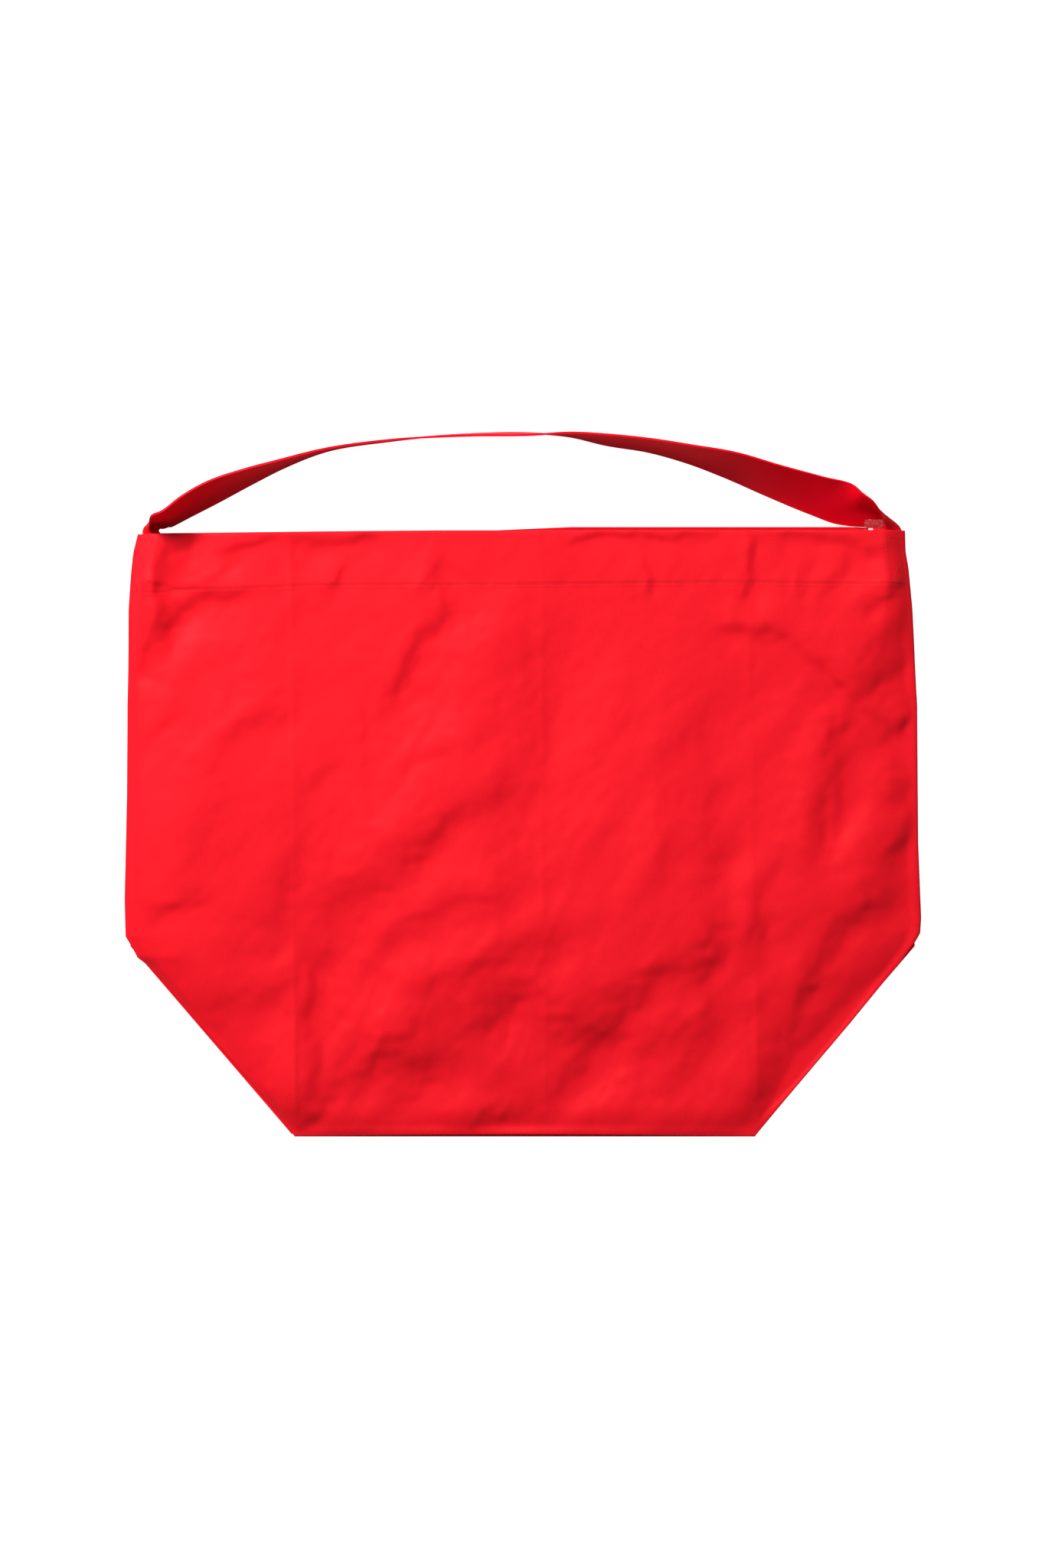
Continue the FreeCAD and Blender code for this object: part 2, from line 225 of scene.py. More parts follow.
LEFT_EDGE = [
    (0, -173),
    (20, -188),
    (85, -245),
    (118, -273),
    (130, -284),
    (136, -292),
    (152, -299.7),
    (180, -300.5),
    (260, -299),
    (330, -298.6),
    (372, -297.3),
    (400, -296.8),
    (430, -294.6),
    (443, -293.2),
    (458, -289.5),
]
RIGHT_EDGE = [
    (0, 176.5),
    (20, 193),
    (85, 248),
    (118, 275),
    (130, 285.5),
    (138, 291),
    (146, 296.5),
    (154, 300.3),
    (165, 301),
    (222, 299),
    (326, 298.3),
    (370, 295.6),
    (400, 293.6),
    (430, 290.6),
    (443, 288.4),
    (458, 288),
]


def read_off(place, pairs):
    """A value read off between the pairs of place and value beside it."""
    return np.interp(place, *np.array(pairs, float).T)


def left_edge(along):
    return read_off(along, LEFT_EDGE)


def right_edge(along):
    return read_off(along, RIGHT_EDGE)


def side_edge(turn, along):
    return right_edge(along) if turn > 0 else left_edge(along)


# Heights of the front panel's middle surface at five stations along it: at its side edges, how far
# it then climbs, and how wide the climb is
STATIONS = [0, 146, 300, 416, 458]
EDGE_LEVEL = [4.2, 3.9, 2.1, 5.1, 5.1]
CLIMB = [7, 8, 9, 7.6, 7.2]
SHOULDER = [40, 48, 50, 17, 15]
BASE_SHOULDER = 24
# The climb is round over the body and straighter in the hem
ROUND = 2
STRAIGHTER = 0.75
STRAIGHTER_FROM = 375
STRAIGHTER_OVER = 35


def crown(x, along):
    """Height of the front panel with no wrinkles in it."""
    edge = curve_through(along, STATIONS, EDGE_LEVEL)
    climb = curve_through(along, STATIONS, CLIMB)
    shoulder = curve_through(along, STATIONS, SHOULDER)
    inside = np.minimum(x - left_edge(along), right_edge(along) - x)
    share = np.clip(inside / shoulder, 0, 1)
    from_base = np.clip(along / BASE_SHOULDER, 0, 1)
    bend = ROUND - STRAIGHTER * ease((along - STRAIGHTER_FROM) / STRAIGHTER_OVER)
    return edge + climb * (1 - (1 - share) ** bend) * (1 - (1 - from_base) ** 2)


# Flanks of the wrinkles that turn away from the light: half width, how steeply the cloth falls
# there, and the points of the line that it falls across
FLANKS = [
    (10, 0.4, (-273, 152), (-266, 171), (-255, 184)),
    (4, 0.3, (-226, 179), (-208, 183), (-194, 185)),
    (5, 0.35, (-165, 186), (-150, 182), (-131, 183), (-116, 187)),
    (3, 0.35, (41, 186), (78, 187), (134, 188)),
    (5, 0.35, (205, 187), (232, 184), (264, 176)),
    (4, 0.2, (-232, 157), (-227, 164), (-221, 169)),
    (4, 0.3, (171, 147), (171, 174)),
    (4, 0.15, (209, 150), (215, 164)),
    (4, 0.15, (232, 150), (241, 165)),
    (3, 0.2, (96, 151), (95, 163)),
    (3, 0.25, (-143, 150), (-139, 160)),
    (4, 0.3, (-71, 147), (-68, 158)),
    (3, 0.2, (-278, 148), (-250, 149)),
    (7, 0.4, (-288, 95), (-276, 113), (-269, 125), (-272, 142)),
    (7, 0.4, (-269, 125), (-251, 135), (-227, 141)),
    (6, 0.3, (263, 137), (276, 145), (290, 149)),
    (10, 0.25, (263, 92), (275, 113), (293, 126)),
    (7, 0.25, (269, 78), (283, 91), (294, 97)),
    (6, 0.25, (283, 40), (297, 47)),
    (7, 0.25, (283, -5), (297, 2)),
    (7, 0.25, (281, -48), (297, -38)),
    (6, 0.35, (-92, 80), (-85, 99), (-75, 116), (-58, 130), (-61, 145)),
    (4, 0.1, (-56, 126), (-36, 130)),
    (5, 0.35, (160, 117), (194, 113), (217, 98), (236, 82), (256, 64), (280, 42)),
    (8, 0.15, (-230, 18), (-221, 34), (-208, 43), (-190, 48)),
    (5, 0.1, (-289, 24), (-272, 43)),
    (5, 0.15, (-95, 5), (-81, 17), (-61, 25)),
    (5, 0.1, (-156, 2), (-141, 13)),
    (6, 0.1, (-98, 58), (-76, 72)),
    (5, 0.1, (-123, 43), (-121, 12), (-119, -21)),
    (10, 0.12, (0, -37), (10, 8), (17, 47)),
    (10, 0.2, (-85, -55), (-65, -36), (-46, -22), (-24, -10)),
    (8, 0.1, (136, 43), (139, -7), (140, -58)),
    (10, 0.07, (105, -51), (110, -3), (117, 27)),
    (14, 0.2, (225, -39), (231, -11), (244, 12), (237, 41)),
    (6, 0.15, (175, -109), (179, -85), (185, -68)),
    (6, 0.2, (-275, -97), (-264, -90), (-251, -87)),
    (8, 0.2, (-143, -113), (-139, -92), (-129, -83), (-118, -83)),
    (9, 0.2, (-94, -115), (-81, -100), (-61, -90), (-42, -90)),
    (8, 0.12, (-18, -113), (-16, -81)),
    (9, 0.15, (-70, -153), (-46, -145), (-13, -130)),
    (17, 0.2, (-21, -167), (-3, -149), (13, -130)),
    (9, 0.2, (143, -166), (141, -139), (144, -112)),
    (12, 0.15, (80, -150), (101, -142), (121, -137)),
    (12, 0.1, (61, -133), (95, -105)),
    (5, 0.2, (180, -123), (174, -92)),
    (14, 0.2, (188, -225), (196, -197), (211, -166), (223, -139), (240, -116), (261, -96)),
    (9, 0.12, (189, -177), (215, -157)),
    (10, 0.15, (127, -211), (144, -189), (171, -170)),
    (9, 0.12, (92, -222), (105, -203), (121, -189)),
    (17, 0.22, (18, -170), (39, -180), (60, -185)),
    (12, 0.12, (51, -206), (66, -185), (79, -168)),
    (10, 0.15, (-126, -234), (-112, -213), (-92, -193), (-65, -174)),
    (16, 0.22, (-94, -203), (-69, -211), (-42, -211), (-20, -221)),
    (8, 0.12, (-20, -225), (-6, -204)),
    (12, 0.22, (-17, -259), (8, -246), (28, -228), (48, -191)),
    (5, 0.2, (-35, -262), (-13, -247)),
    (10, 0.25, (-164, -152), (-160, -189), (-161, -229)),
    (6, 0.15, (-156, -247), (-140, -218), (-127, -193), (-116, -166)),
    (4, 0.15, (-166, -263), (-153, -245), (-137, -226)),
    (5, 0.1, (-124, -229), (-107, -200)),
    (12, 0.12, (-219, -167), (-194, -159)),
    (8, 0.15, (-185, -113), (-180, -89), (-174, -61)),
    (8, 0.1, (80, -245), (103, -226)),
    (6, 0.1, (-94, -241), (-71, -227)),
    (6, 0.1, (147, -164), (168, -146)),
    (8, 0.07, (-193, 93), (-177, 113), (-165, 128)),
    (10, 0.06, (-262, 58), (-251, 78), (-232, 93)),
    (9, 0.07, (-38, 74), (-27, 93), (-11, 105)),
    (12, 0.05, (39, 4), (51, 27), (70, 43)),
    (10, 0.06, (-181, -27), (-162, 4), (-154, 24)),
    (15, 0.12, (-65, -110), (5, -80)),
    (15, 0.15, (-60, -150), (0, -120)),
    (18, 0.15, (-85, -220), (-25, -170)),
    (15, 0.15, (-15, -245), (35, -175)),
    (20, 0.12, (70, -170), (135, -120)),
    (16, 0.1, (140, -195), (150, -50)),
    (20, 0.1, (185, -125), (245, -85)),
    (18, 0.12, (180, -220), (230, -145)),
    (10, 0.18, (230, -35), (235, 35)),
    (18, 0.08, (110, -50), (135, 50)),
    (18, 0.12, (-20, -35), (15, 100)),
    (10, 0.15, (-165, -240), (-160, -150)),
    (22, 0.06, (-240, -170), (-180, -85)),
    (14, 0.1, (265, -85), (290, -35)),
]
# Broad swells of the cloth: half width, height and the points of the crest
SWELLS = [
    (24, 2.4, (-125, -60), (-85, -15), (-50, 35), (-25, 95)),
    (26, 1.2, (20, -110), (60, -20), (70, 90)),
    (18, 1.2, (-270, -60), (-225, 20), (-190, 90)),
    (14, 1.0, (20, -235), (60, -200), (110, -180)),
    (105, 5.5, (-290, -15), (-120, -20), (60, -40)),
]
# The way that the flanks fall, in x and y
AWAY_FROM_LIGHT = np.array([0.6, -0.8])
# Pressed fold lines: both ends as pixels of the photograph, then half width and height
CREASES = [
    (378, 697, 389, 1481, 3.5, 0.7),
    (976, 693, 988, 1481, 3.5, 0.5),
    (706, 693, 709, 1100, 3, 0.35),
]
# Pixel columns of the small gathers that cross the row of hem stitches
PUCKERS = [437, 563, 843, 977, 1037]
PUCKER_HIGH = 0.5
PUCKER_HALF = 3
# The row of hem stitches, as pixels of the photograph
STITCH_X = [212, 232, 250, 330, 400, 480, 560, 650, 740, 900, 1000, 1060, 1148]
STITCH_Y = [775, 771, 771, 769, 766, 765, 765, 764.5, 763.5, 762, 761.5, 763, 763.5]
FRONT_STITCHES_FROM = -273
FRONT_STITCHES_TO = 271
# The way that most small wrinkles run, in x and y
SLANT_X = 0.57
SLANT_Y = 0.82
# The front panel stays clear of the base and the tucks under it
LOWEST = 3.45
BASE_SEAM_X = 169
BASE_SEAM_HALF = 8
KEPT_UP_SHARPLY = 2.5


def beside(x, y, points, fade):
    """For each leg of a line: how far off it a place lies, and a weight that fades past its ends."""
    whole = np.array(points[-1], float) - np.array(points[0], float)
    side = 1 if np.array([whole[1], -whole[0]]) @ AWAY_FROM_LIGHT > 0 else -1
    for start, end in zip(points, points[1:]):
        way = np.array(end, float) - np.array(start, float)
        long = np.linalg.norm(way)
        way = way / long
        away = np.array([way[1], -way[0]]) * side
        along = (x - start[0]) * way[0] + (y - start[1]) * way[1]
        off = (x - start[0]) * away[0] + (y - start[1]) * away[1]
        beyond = np.maximum(np.maximum(-along, along - long), 0)
        yield off, np.exp(-((beyond / fade) ** 2))


def flank(x, y, wide, slope, *points):
    """A soft fall of the cloth across a line, away from the light, that fades at the line's ends."""
    tail = 4
    steepest = 1.33
    total = 0 * x
    weights = 0 * x
    for off, weight in beside(x, y, points, wide * 1.8 + 3):
        fall = np.tanh(off / wide) - np.tanh(off / (tail * wide))
        total = total - steepest * slope * wide * fall * weight
        weights = weights + weight
    return total / np.maximum(weights, 1)


def swell(x, y, wide, high, *points):
    """A broad soft ridge along a line."""
    total = 0 * x
    weights = 0 * x
    for off, weight in beside(x, y, points, wide * 1.3):
        total = total + high * np.exp(-((off / wide) ** 2)) * weight
        weights = weights + weight
    return total / np.maximum(weights, 1)


def crease(x, y, start, end, wide, high):
    """A pressed fold line, sharp along its crest, that stands now higher on one side of it."""
    way = np.array(end, float) - np.array(start, float)
    way = way / np.linalg.norm(way)
    off = (x - start[0]) * -way[1] + (y - start[1]) * way[0]
    strong = 0.7 + 0.6 * cloudy(start[0] + 0 * x, y, *CREASE_CLOUD)
    tilt = 0.9 * cloudy(start[0] + 0 * x, y, *TILT_CLOUD)
    return high * strong * np.exp(-np.abs(off) / wide) * (1 + tilt * np.tanh(off / 1.2))


def stitch_line(x):
    """Where the hem's stitches run."""
    places, line = from_picture(np.array(STITCH_X), np.array(STITCH_Y))
    return np.interp(x, places, line)


def rumple(x, y):
    """All the unevenness of the front panel that the photograph shows."""
    slanting = x * SLANT_X + y * SLANT_Y
    across = x * SLANT_Y - y * SLANT_X
    # Calm at the upper left and busy at the lower right
    busy = 0.4 + 0.6 * ease((x * 0.6 - y + 120) / 330)
    height = busy * 1.3 * cloudy(across, slanting, *WIDE_CLOUD)
    height = height + busy * 0.75 * cloudy(across, slanting, *NARROW_CLOUD)
    height = height + 0.11 * cloudy(across, slanting, *GRAIN_CLOUD)
    # Lines drawn straight are bent a little, as cloth bends them
    bent_x = x + 3.5 * cloudy(x, y, *BEND_X_CLOUDS[0]) + 2.0 * cloudy(x, y, *BEND_X_CLOUDS[1])
    bent_y = y + 3.5 * cloudy(x, y, *BEND_Y_CLOUDS[0]) + 2.0 * cloudy(x, y, *BEND_Y_CLOUDS[1])
    # The wrinkles are deeper at the lower left and middle
    deeper = 1 + 0.15 * ease((-y - 30) / 120) * ease((110 - x) / 120)
    for wrinkle in FLANKS:
        height = height + deeper * flank(bent_x, bent_y, *wrinkle)
    for crest in SWELLS:
        height = height + swell(bent_x, bent_y, *crest)
    for x0, y0, x1, y1, wide, high in CREASES:
        height = height + crease(x, y, from_picture(x0, y0), from_picture(x1, y1), wide, high)
    # The hem steps up at its stitches, which sink in and gather the cloth beside them
    below = y - stitch_line(x)
    height = height + 0.4 * ease((below + 3) / 3)
    height = height - 0.35 * np.exp(-((below / 1.3) ** 2))
    ripple = cloudy(x, y * 0, *HEM_CLOUD)
    height = height + 0.22 * ripple * np.exp(-((below / 7) ** 2))
    for pixel in PUCKERS:
        place, _ = from_picture(pixel, 0)
        off = (x - place - 0.2 * below) / PUCKER_HALF
        height = height + PUCKER_HIGH * np.exp(-(off**2) - ((below / 7) ** 2))
    return height


def front_height(x, y):
    """Height of the front panel's middle surface: crown and rumple, kept above what lies under it."""
    along = y - BASE
    inside = np.minimum(x - left_edge(along), right_edge(along) - x)
    inside = np.minimum(inside, along)
    loose = ease(inside / 9) * (1 - 0.5 * np.exp(-along / 16))
    off_seam = (np.abs(x) - BASE_SEAM_X) / BASE_SEAM_HALF
    seam = np.exp(-(off_seam**4)) * ease((TUCK_DEEP + 8 - along) / 8)
    lowest = LOWEST + seam
    height = crown(x, along) + rumple(x, y) * loose
    return lowest + np.logaddexp(0, (height - lowest) * KEPT_UP_SHARPLY) / KEPT_UP_SHARPLY


# Upper edges of the two panels: x, and y
FRONT_MOUTH = [(-289, 188.9), (-250, 189.6), (-150, 190.8), (-65, 191.6), (290, 191.8)]
BACK_MOUTH = [(-289, 188.4), (-40, 191.2), (36, 194.4), (250, 194.4), (288, 192.6)]
BASE_BOW = 1.6


def mouth_line(x):
    """The front panel's upper edge."""
    return read_off(x, FRONT_MOUTH)


def base_edge(x):
    """The front panel's lower edge, bowed a little inwards at its middle."""
    return BASE + BASE_BOW * np.clip(1 - (x / HALF_BASE) ** 2, 0, 1)


def half_circle(steps):
    """The angles of a half turn, without its start."""
    return np.linspace(0, math.pi, steps + 1)[1:]


def rolled(points, level_below, way, steps):
    """Extra columns that turn the side edge of a grid round a half circle and under."""
    edge = points[:, 0 if way < 0 else -1]
    radius = np.maximum((edge[:, 2] - level_below) / 2, 0.28)
    added = []
    for angle in half_circle(steps):
        ring = edge.copy()
        ring[:, 0] += way * radius * math.sin(angle)
        ring[:, 2] += -radius + radius * math.cos(angle)
        added.append(ring)
    lip = added[-1].copy()
    lip[:, 0] -= way * LIP
    added.append(lip)
    extra = np.stack(added, axis=1)
    if way < 0:
        return np.concatenate([extra[:, ::-1], points], axis=1)
    return np.concatenate([points, extra], axis=1)


def row_roll(edge, radius, way, up, steps):
    """Extra rows that turn the lower or upper edge of a grid round a half circle, up or down."""
    added = []
    for angle in half_circle(steps):
        ring = edge.copy()
        ring[:, 1] += way * radius * math.sin(angle)
        ring[:, 2] += up * (radius - radius * math.cos(angle))
        added.append(ring)
    return added


def with_lip(rings):
    """The rows of a rolled lower edge, and one more that runs on along the cloth."""
    lip = rings[-1].copy()
    lip[:, 1] += LIP
    return [*rings, lip]


def hem_left_out(grid, inner, hem_rows):
    """Which faces of a grid are there: the turned-in hem ends short of the side seams."""
    shown = np.ones((grid.shape[0] - 1, grid.shape[1] - 1), bool)
    kept = inner[:-1] & inner[1:]
    shown[-hem_rows:] &= kept[None, :]
    return shown


HEM_DEPTHS = np.linspace(0, HEM_DEEP, 12)[1:]


def front_cloth(material):
    """The front panel's cloth with its wrinkles, rolled edges and turned-in hem."""
    step = 2.0
    fine = 0.6
    near_stitches = 10
    past_stitches = 9
    turn_in = 0.9
    stitches = BAG_LONG - HEM_DEEP
    below = np.arange(0, stitches - near_stitches, step)
    near = np.arange(stitches - near_stitches, stitches + past_stitches, fine)
    above = np.linspace(stitches + past_stitches, BAG_LONG, int((HEM_DEEP - past_stitches) / step))
    up = (np.concatenate([below, near, above]) / BAG_LONG)[:, None]
    across = np.linspace(-1, 1, int(2 * HALF_BODY / step))[None, :]
    along = up * BAG_LONG
    left = left_edge(along) + turn_in
    right = right_edge(along) - turn_in
    x = (left + right) / 2 + across * (right - left) / 2
    low = base_edge(x) + 0.4
    high = mouth_line(x) - 0.8
    y = low + (high - low) * up
    grid = np.stack([x, y, front_height(x, y)], axis=-1)
    row_along = grid[:, 0, 1] - BASE
    under = 0.95 + 2.6 * (1 - ease((row_along - CORNER_LONG + 6) / 12))
    grid = rolled(grid, under, -1, 5)
    grid = rolled(grid, under, 1, 5)
    inner = np.abs(grid[-1, :, 0]) < HALF_FRONT_HEM
    base_rings = with_lip(row_roll(grid[0], 0.5, -1, -1, 5))
    mouth_rings = row_roll(grid[-1], 0.75, 1, -1, 5)
    hem = []
    for depth in HEM_DEPTHS:
        ring = mouth_rings[-1].copy()
        ring[:, 1] -= depth
        ring[:, 2] = front_height(ring[:, 0], ring[:, 1]) - 1.5
        hem.append(ring)
    grid = np.concatenate([np.stack(base_rings[::-1]), grid, np.stack(mouth_rings), np.stack(hem)])
    return cloth_mesh("front_cloth", grid, CLOTH, material, hem_left_out(grid, inner, len(hem) + 2))


# The back panel's cloth lies on the table

BACK_ROLL = 0.45


def back_edge_line(x):
    """The back panel's upper edge, which shows beyond the front one's in the right half."""
    return read_off(x, BACK_MOUTH)


def back_half(side, turn, material):
    """Half of the back panel's cloth, with its turned-in hem, which curls up beyond the front's."""
    rows = 110
    columns = 70
    up = np.linspace(0, 1, rows)[:, None]
    x = (side_edge(turn, up * BAG_LONG) - turn * 1.1) * np.linspace(0, 1, columns)[None, :]
    low = BASE + 0.2 + 0 * x
    y = low + (back_edge_line(x) - 0.5 - low) * up
    wave = 0.12 * (1 + cloudy(x, y, *BACK_CLOUD))
    grid = np.stack([x, y, 0.5 + wave * ease((y - BASE) / 20)], axis=-1)
    base_rings = with_lip(row_roll(grid[0], BACK_ROLL, -1, 1, 4))
    inner = np.abs(grid[-1, :, 0]) < HALF_BACK_HEM
    top = row_roll(grid[-1], BACK_ROLL, 1, 1, 4)
    rolled_over = top[-1]
    for depth in HEM_DEPTHS:
        ring = rolled_over.copy()
        ring[:, 1] -= depth
        top.append(ring)
    grid = np.concatenate([np.stack(base_rings[::-1]), grid, np.stack(top)])
    beyond = np.clip(grid[:, :, 1] - mouth_line(grid[:, :, 0]), 0, 4)
    grid[:, :, 2] += 0.8 * beyond * ease((260 - np.abs(grid[:, :, 0])) / 20)
    if turn < 0:
        grid = grid[:, ::-1]
        inner = inner[::-1]
    return cloth_mesh(f"back_cloth_{side}", grid, CLOTH, material, hem_left_out(grid, inner, len(top) + 1))


# The base panel and the corner tucks are folded inwards

LOWER_LEG = 1.45
UPPER_LEG = 2.9
LEG_ROWS = 24
BASE_CLEAR = 0.9


def folded_cloth(name, x, low, high, material):
    """A sheet folded along its inner edge: its lower leg, the fold and its upper leg."""
    radius = (UPPER_LEG - LOWER_LEG) / 2
    rows = []
    for share in np.linspace(0, 1, LEG_ROWS):
        rows.append(np.stack([x, low + (high - radius - low) * share, LOWER_LEG + 0 * x], axis=-1))
    for angle in half_circle(6)[:-1]:
        y = high - radius + radius * math.sin(angle)
        rows.append(np.stack([x, y, LOWER_LEG + radius * (1 - math.cos(angle)) + 0 * x], axis=-1))
    for share in np.linspace(1, 0, LEG_ROWS):
        rows.append(np.stack([x, low + (high - radius - low) * share, UPPER_LEG + 0 * x], axis=-1))
    return cloth_mesh(name, np.stack(rows), CLOTH, material)


def base_half(side, turn, material):
    x = np.linspace(0, turn * (HALF_BASE - 0.3), 36)
    if turn < 0:
        x = x[::-1]
    low = BASE + BASE_CLEAR + 0 * x
    return folded_cloth(f"base_cloth_{side}", x, low, BASE + TUCK_DEEP + 0 * x, material)


def corner_tuck(side, turn, material):
    share = np.linspace(0, 0.985, 30)
    x = turn * (HALF_BASE + 0.3 + share * (HALF_BODY - HALF_BASE - 1.5))
    if turn < 0:
        x = x[::-1]
        share = share[::-1]
    low = BASE + BASE_CLEAR + share * (CORNER_LONG - 1)
    high = BASE + TUCK_DEEP + share * (CORNER_LONG - TUCK_DEEP)
    high = np.maximum(high, low + 2)
    return folded_cloth(f"{side}_tuck_cloth", x, low, high, material)


def seam_strip(name, turn, inner, outer, y, level, material):
    """A narrow strip of cloth between two lines that run along the bag."""
    inner = np.stack([inner, y], axis=1)
    outer = np.stack([outer, y], axis=1)
    first, last = (inner, outer) if turn > 0 else (outer, inner)
    share = np.linspace(0, 1, 5)[None, :, None]
    flat = first[:, None] + (last - first)[:, None] * share
    raised = np.full(flat.shape[:2], level)
    raised = raised + 0.05 * cloudy(flat[..., 0], flat[..., 1], *SEAM_CLOUD)
    return cloth_mesh(name, np.concatenate([flat, raised[..., None]], axis=-1), SEAM_CLOTH, material)


def base_seam(side, turn, material):
    y = np.linspace(BASE + 4, BASE + TUCK_DEEP - 1.5, 40)
    inner = 0 * y + turn * 165
    outer = 0 * y + turn * 173.6
    return seam_strip(f"{side}_base_seam_cloth", turn, inner, outer, y, 3.9, material)


def side_seam(side, turn, material):
    along = np.linspace(CORNER_LONG + 4, BAG_LONG - HEM_DEEP - 1, 60)
    outer = side_edge(turn, along) - turn * 4.2
    inner = outer - turn * 8.5
    return seam_strip(f"{side}_side_seam_cloth", turn, inner, outer, BASE + along, 1.3, material)


# The strap stands on its edge beyond the mouth; its ends are folded and sewn inside the hem.
# Its stations follow those of the part's source, whose leans come from the strap's edges in the
# photograph, and were moved towards what the photograph shows: share of the half mouth,
# share of the reach, and lean in degrees, outwards at the top.
ROUTE = [
    (-0.92, 0.05, 17),
    (-0.87, 0.15, 22),
    (-0.8, 0.29, 24),
    (-0.71, 0.48, 16),
    (-0.63, 0.64, 7),
    (-0.52, 0.81, 0),
    (-0.35, 0.92, -2),
    (-0.15, 0.99, -5),
    (0.03, 1, -5),
    (0.12, 0.97, 1),
    (0.22, 0.88, 9),
    (0.33, 0.81, 12),
    (0.43, 0.7, 18),
    (0.53, 0.55, 29),
    (0.64, 0.36, 38),
    (0.75, 0.18, 48),
    (0.83, 0.07, 52),
]
REACH = 74.1
# Where the strap turns into the mouth: its lower edge, its middle and its upper edge
LEFT_FOOT = [
    [(-270.8, 193.8, 1.5), (-283.2, 196.0, 9), (-280.6, 196.8, 25)],
    [(-267.6, 195.2, 1.2), (-278.5, 198.8, 17), (-279.2, 201.5, 34)],
]
RIGHT_FOOT = [
    [(250, 195.3, 2.6), (254.5, 208, 12.5), (255.6, 219, 30)],
    [(258.4, 194.8, 2.8), (267, 205.5, 11), (264.5, 212, 28)],
    [(262.5, 194.0, 2.7), (276, 201.5, 8), (270.8, 202.5, 20)],
]
ACROSS_STRAP = 17
ALONG_STRAP = 190
# The sewn end cut across, flat in the hem and pinched at the mouth: x without its side, and height
FOLD_FLAT = np.array([(265.8, 1.9), (285.9, 1.9), (286.9, 2.9), (286.3, 4.4), (274.6, 10.2)])
FOLD_PINCHED = np.array([(275.5, 1.9), (286.1, 1.9), (287.1, 2.9), (286.8, 4.6), (281.6, 10.4)])


def band_line(place):
    """The strap's middle surface cut across at a station, from its lower to its upper edge."""
    def foot(index):
        across, out, _ = ROUTE[min(max(index, 0), len(ROUTE) - 1)]
        return np.array([across * HALF_MOUTH, MOUTH + out * REACH, 0])

    way = foot(place + 1) - foot(place - 1)
    way = way / np.linalg.norm(way)
    lean = math.radians(ROUTE[place][2])
    outward = np.array([-way[1], way[0], 0])
    width_way = outward * math.sin(lean) + np.array([0, 0, math.cos(lean)])
    start = foot(place) + np.array([0, 0, 0.8 + STRAP_THICK / 2 * abs(math.sin(lean))])
    share = np.linspace(0, 1, ACROSS_STRAP)[:, None]
    return start + width_way * STRAP_WIDE * share


def folded_line(turn, y, pinch=0.0):
    """The strap's middle surface at its sewn end, folded lengthways round the side fold."""
    corners = FOLD_FLAT + (FOLD_PINCHED - FOLD_FLAT) * pinch
    far = distance_along(corners)
    at = np.linspace(0, far[-1], ACROSS_STRAP)
    x = np.interp(at, far, corners[:, 0])
    z = np.interp(at, far, corners[:, 1])
    return np.stack([turn * x, np.full(ACROSS_STRAP, y), z], axis=1)


def through(points):
    """The strap's middle surface on a smooth curve through a few points across it."""
    points = np.array(points, float)
    far = distance_along(points)
    at = np.linspace(0, far[-1], ACROSS_STRAP)
    return np.stack([curve_through(at, far, points[:, k]) for k in range(3)], axis=1)


def strap_cloth(material):
    """The whole strap, from its left sewn end over the arch to its right one."""
    sewn = [MOUTH - 40, MOUTH - 27, MOUTH - 13, MOUTH - 6, MOUTH + 0.2]
    left = [folded_line(-1, y, pinch) for y, pinch in zip(sewn, [0, 0, 0, 0.5, 1])]
    right = [folded_line(1, y) for y in reversed(sewn)]
    free = [band_line(place) for place in range(len(ROUTE))]
    rising = [through(points) for points in LEFT_FOOT]
    falling = [through(points) for points in RIGHT_FOOT]
    lines = np.stack(left + rising + free + falling + right)
    at = distance_along(lines[:, ACROSS_STRAP // 2])
    fine = np.linspace(0, at[-1], ALONG_STRAP)
    slopes = np.gradient(lines, at, axis=0)
    span = np.clip(np.searchsorted(at, fine, side="right") - 1, 0, len(at) - 2)
    wide = (at[span + 1] - at[span])[:, None, None]
    share = ((fine - at[span])[:, None, None]) / wide
    grid = cubic(share, wide, lines[span], lines[span + 1], slopes[span], slopes[span + 1])
    # The right foot lies on the back panel's hem, the rest on the table
    over_back = ease((198 - grid[..., 1]) / 3) * (grid[..., 0] > 0) * (grid[..., 1] > MOUTH)
    grid[..., 2] = np.maximum(grid[..., 2], 1.0 + 1.6 * over_back)
    return cloth_mesh("strap_cloth", grid, STRAP_THICK, material)


# Stitches are short rounded dashes of thread: where each ring lies on its length, and its girth

DASH_RINGS = [(-0.5, 0.25), (-0.42, 0.8), (-0.2, 1), (0.2, 1), (0.42, 0.8), (0.5, 0.25)]
DASH_SIDES = 6
DASH_FLATTENED = 0.8
DASH_LIFTED = 0.12
DASH_SUNK = 0.25


